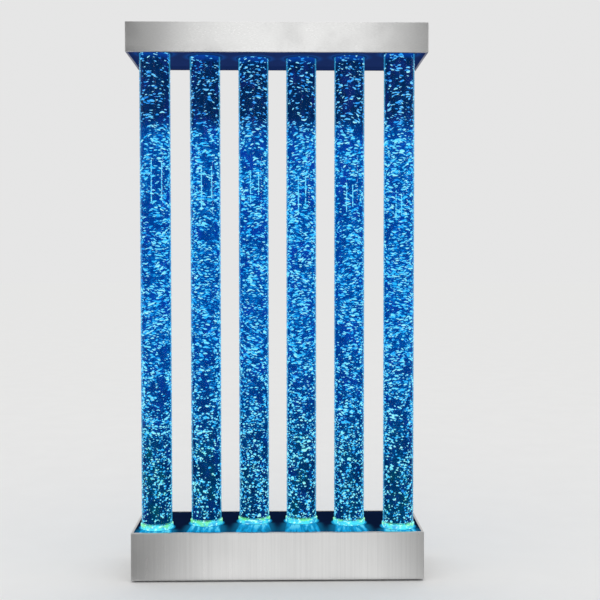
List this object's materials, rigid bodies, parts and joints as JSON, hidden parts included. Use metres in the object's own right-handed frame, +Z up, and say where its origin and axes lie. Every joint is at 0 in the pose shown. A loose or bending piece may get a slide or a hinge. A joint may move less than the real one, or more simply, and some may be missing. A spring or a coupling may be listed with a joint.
{
  "type": "bubble tube floor lamp",
  "caption": "Free-standing wall of lit, water-filled bubble tubes on a shallow arc between a brushed steel base box and a wider cap box.",
  "frame": {"origin": "on the floor, under the centre of the base box", "axes": "+Z up along the tubes, +X to the right seen from the front, front towards -Y"},
  "size_m": [0.974, 0.314, 1.813],
  "materials": {
    "clear_acrylic": "gloss",
    "glowing_acrylic": "gloss",
    "lit_water": "gloss",
    "brushed_stainless": "satin",
    "deck_gloss_black": "gloss",
    "soffit_panel": "satin",
    "painted_frame": "satin",
    "black_rubber": "matte",
    "black_plastic": "matte",
    "white_board": "matte",
    "sink_aluminium": "satin",
    "turned_aluminium": "satin",
    "pump_body_paint": "satin",
    "valve_brass": "satin",
    "knob_red": "gloss",
    "silicone_hose": "satin",
    "valve_white": "gloss",
    "porous_stone": "matte",
    "supply_cage": "satin",
    "box_white": "matte",
    "lead_black": "matte",
    "plated_steel": "polished"
  },
  "bodies": {
    "lamp": {"acrylic_tube_1": "clear_acrylic", "tube_plug_1": "glowing_acrylic", "acrylic_tube_2": "clear_acrylic", "tube_plug_2": "glowing_acrylic", "acrylic_tube_3": "clear_acrylic", "tube_plug_3": "glowing_acrylic", "acrylic_tube_4": "clear_acrylic", "tube_plug_4": "glowing_acrylic", "acrylic_tube_5": "clear_acrylic", "tube_plug_5": "glowing_acrylic", "acrylic_tube_6": "clear_acrylic", "tube_plug_6": "glowing_acrylic", "water_columns": "lit_water", "air_diffusers": "porous_stone", "tube_gaskets": "black_rubber", "tube_lock_rings": "black_plastic", "led_rings": "white_board", "led_heatsinks": "sink_aluminium", "base_fascia": "brushed_stainless", "base_deck": "deck_gloss_black", "deck_frame": "painted_frame", "base_pan": "painted_frame", "rear_panel": "brushed_stainless", "door_hinge_fixed_leaf": "plated_steel", "door_hinge_pin": "plated_steel", "door_catches": "black_plastic", "feet": "black_rubber", "air_pump_body": "pump_body_paint", "air_pump_cover": "black_plastic", "valve_manifold": "valve_brass", "check_valves": "valve_white", "airlines": "silicone_hose", "power_supply": "supply_cage", "led_controller": "box_white", "power_inlet": "black_plastic", "control_bezels": "black_plastic", "wiring": "lead_black", "screws": "plated_steel", "cap_fascia": "brushed_stainless", "cap_frame": "painted_frame", "cap_soffit": "soffit_panel", "cap_grommets": "black_rubber", "cap_collars": "turned_aluminium"},
    "lid": {"cap_lid": "brushed_stainless"},
    "door": {"service_door": "brushed_stainless", "door_hinge_door_leaf": "plated_steel"},
    "rocker": {"switch_rocker": "black_plastic"},
    "button": {"mode_button": "plated_steel"},
    "vent_1": {"vent_cap_1": "black_plastic"},
    "knob_1": {"valve_knob_1": "knob_red"},
    "vent_2": {"vent_cap_2": "black_plastic"},
    "knob_2": {"valve_knob_2": "knob_red"},
    "vent_3": {"vent_cap_3": "black_plastic"},
    "knob_3": {"valve_knob_3": "knob_red"},
    "vent_4": {"vent_cap_4": "black_plastic"},
    "knob_4": {"valve_knob_4": "knob_red"},
    "vent_5": {"vent_cap_5": "black_plastic"},
    "knob_5": {"valve_knob_5": "knob_red"},
    "vent_6": {"vent_cap_6": "black_plastic"},
    "knob_6": {"valve_knob_6": "knob_red"}
  },
  "joints": [
    {"name": "lid_lift", "type": "slide", "parent": "lamp", "child": "lid", "axis": [0, 0, 1], "range_m": [0, 0.12]},
    {"name": "door_fold", "type": "hinge", "parent": "lamp", "child": "door", "pos_m": [0, 0.153, 0.03], "axis": [-1, 0, 0], "range_deg": [0, 90]},
    {"name": "rocker_tilt", "type": "hinge", "parent": "lamp", "child": "rocker", "pos_m": [0.348, 0.15, 0.064], "axis": [0, 0, 1], "range_deg": [-20, 0]},
    {"name": "mode_button_press", "type": "slide", "parent": "lamp", "child": "button", "axis": [0, -1, 0], "range_m": [0, 0.0025], "stiffness_N_per_m": 200},
    {"name": "vent_cap_1_lift", "type": "slide", "parent": "lamp", "child": "vent_1", "axis": [0, 0, 1], "range_m": [0, 0.03]},
    {"name": "vent_cap_2_lift", "type": "slide", "parent": "lamp", "child": "vent_2", "axis": [0, 0, 1], "range_m": [0, 0.03]},
    {"name": "vent_cap_3_lift", "type": "slide", "parent": "lamp", "child": "vent_3", "axis": [0, 0, 1], "range_m": [0, 0.03]},
    {"name": "vent_cap_4_lift", "type": "slide", "parent": "lamp", "child": "vent_4", "axis": [0, 0, 1], "range_m": [0, 0.03]},
    {"name": "vent_cap_5_lift", "type": "slide", "parent": "lamp", "child": "vent_5", "axis": [0, 0, 1], "range_m": [0, 0.03]},
    {"name": "vent_cap_6_lift", "type": "slide", "parent": "lamp", "child": "vent_6", "axis": [0, 0, 1], "range_m": [0, 0.03]},
    {"name": "valve_1_turn", "type": "hinge", "parent": "lamp", "child": "knob_1", "pos_m": [-0.09, 0.107, 0.062], "axis": [0, 1, 0], "range_deg": [-270, 270]},
    {"name": "valve_2_turn", "type": "hinge", "parent": "lamp", "child": "knob_2", "pos_m": [-0.054, 0.107, 0.062], "axis": [0, 1, 0], "range_deg": [-270, 270]},
    {"name": "valve_3_turn", "type": "hinge", "parent": "lamp", "child": "knob_3", "pos_m": [-0.018, 0.107, 0.062], "axis": [0, 1, 0], "range_deg": [-270, 270]},
    {"name": "valve_4_turn", "type": "hinge", "parent": "lamp", "child": "knob_4", "pos_m": [0.018, 0.107, 0.062], "axis": [0, 1, 0], "range_deg": [-270, 270]},
    {"name": "valve_5_turn", "type": "hinge", "parent": "lamp", "child": "knob_5", "pos_m": [0.054, 0.107, 0.062], "axis": [0, 1, 0], "range_deg": [-270, 270]},
    {"name": "valve_6_turn", "type": "hinge", "parent": "lamp", "child": "knob_6", "pos_m": [0.09, 0.107, 0.062], "axis": [0, 1, 0], "range_deg": [-270, 270]}
  ]
}
